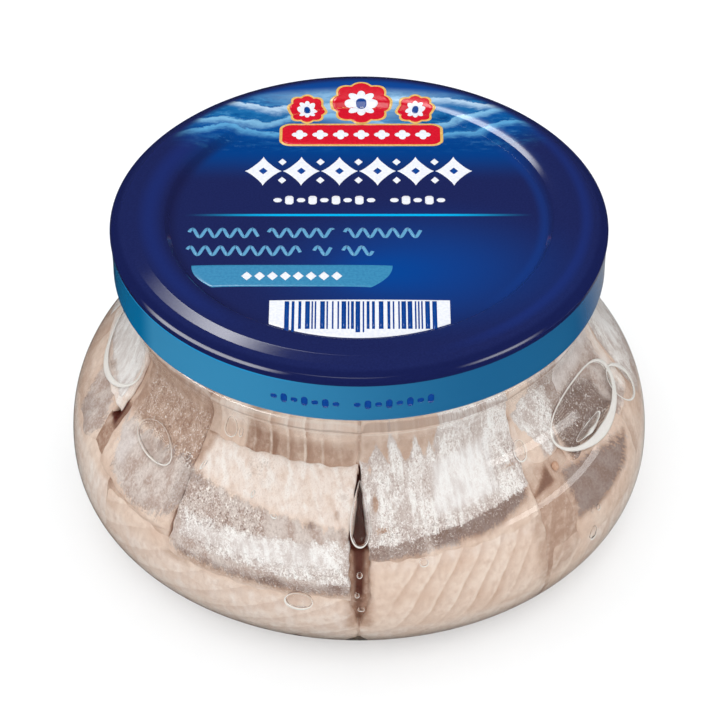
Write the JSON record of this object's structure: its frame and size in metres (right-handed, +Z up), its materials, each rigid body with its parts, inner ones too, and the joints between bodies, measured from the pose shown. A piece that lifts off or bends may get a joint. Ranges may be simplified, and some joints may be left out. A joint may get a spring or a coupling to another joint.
{
  "type": "jar of herring fillet pieces",
  "caption": "Squat round glass jar packed with herring fillet pieces in oil, shut by a printed metal twist-off lid.",
  "frame": {"origin": "middle of the jar's foot, on the surface it stands on", "axes": "+Z up along the jar's axis; the side that the picture shows faces -Y, with +X to its right"},
  "size_m": [0.1044, 0.1044, 0.0604],
  "materials": {
    "clear_glass": "smooth clear glass",
    "printed_tinplate": "glossy lacquer over print",
    "herring": "moist flesh with silver skin"
  },
  "bodies": {
    "root": {"jar": "clear_glass", "lid": "printed_tinplate", "herring_fillets": "herring"}
  },
  "joints": []
}
